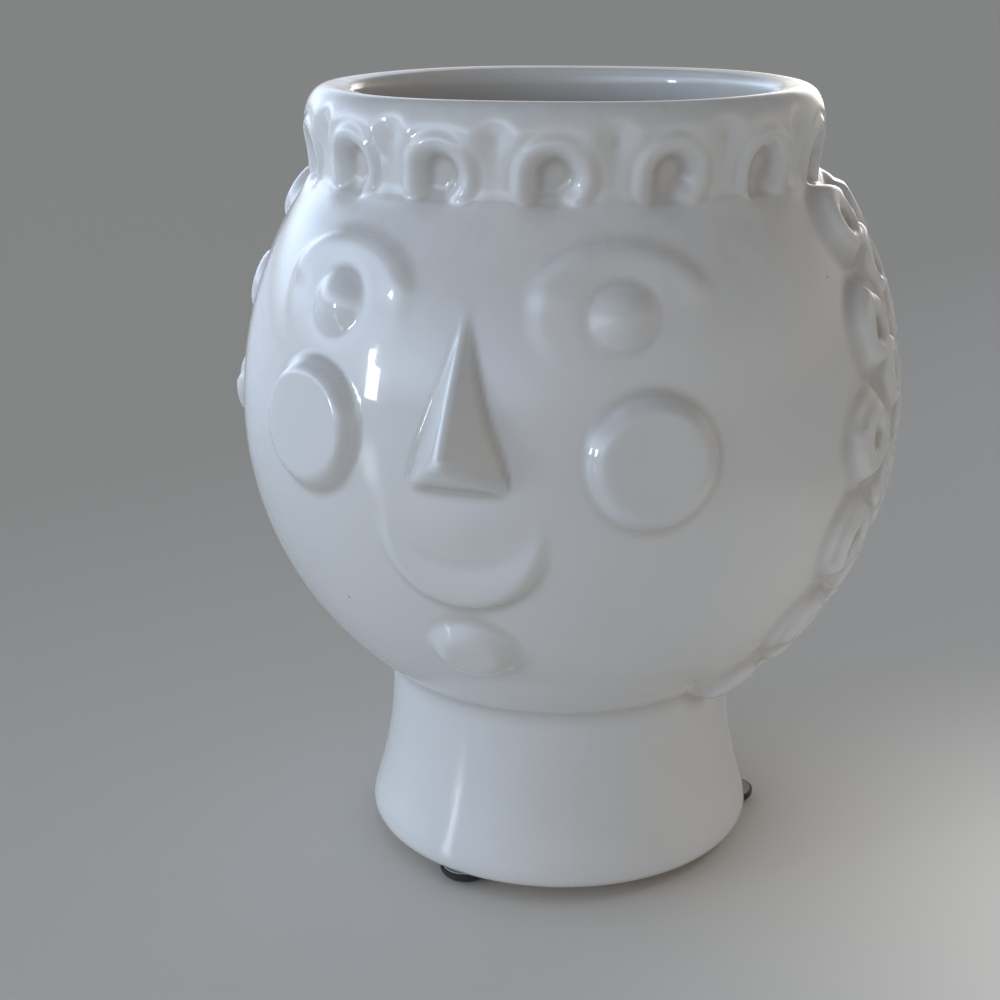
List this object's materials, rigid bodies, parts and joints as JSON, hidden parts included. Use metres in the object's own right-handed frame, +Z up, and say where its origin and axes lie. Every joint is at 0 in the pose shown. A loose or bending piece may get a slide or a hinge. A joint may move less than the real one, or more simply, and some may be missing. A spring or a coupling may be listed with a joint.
{
  "type": "head planter",
  "caption": "Hollow glazed ceramic plant pot shaped as a smiling round head with curled hair, a scroll collar, an open mouth on top and a flared pedestal on rubber feet.",
  "frame": {"origin": "middle of the base, on the surface that the planter stands on", "axes": "+Z up through the mouth, -Y the way the face looks, +X to the right of someone who looks at the face"},
  "size_m": [0.1412, 0.1477, 0.165],
  "materials": {
    "glaze": "glossy white glaze on cast earthenware",
    "rubber": "smooth black rubber",
    "adhesive": "thin grey adhesive foam"
  },
  "bodies": {
    "root": {"ceramic_body": "glaze", "front_foot": "rubber", "right_foot": "rubber", "left_rear_foot": "rubber", "front_foot_adhesive": "adhesive", "right_foot_adhesive": "adhesive", "left_rear_foot_adhesive": "adhesive"}
  },
  "joints": []
}
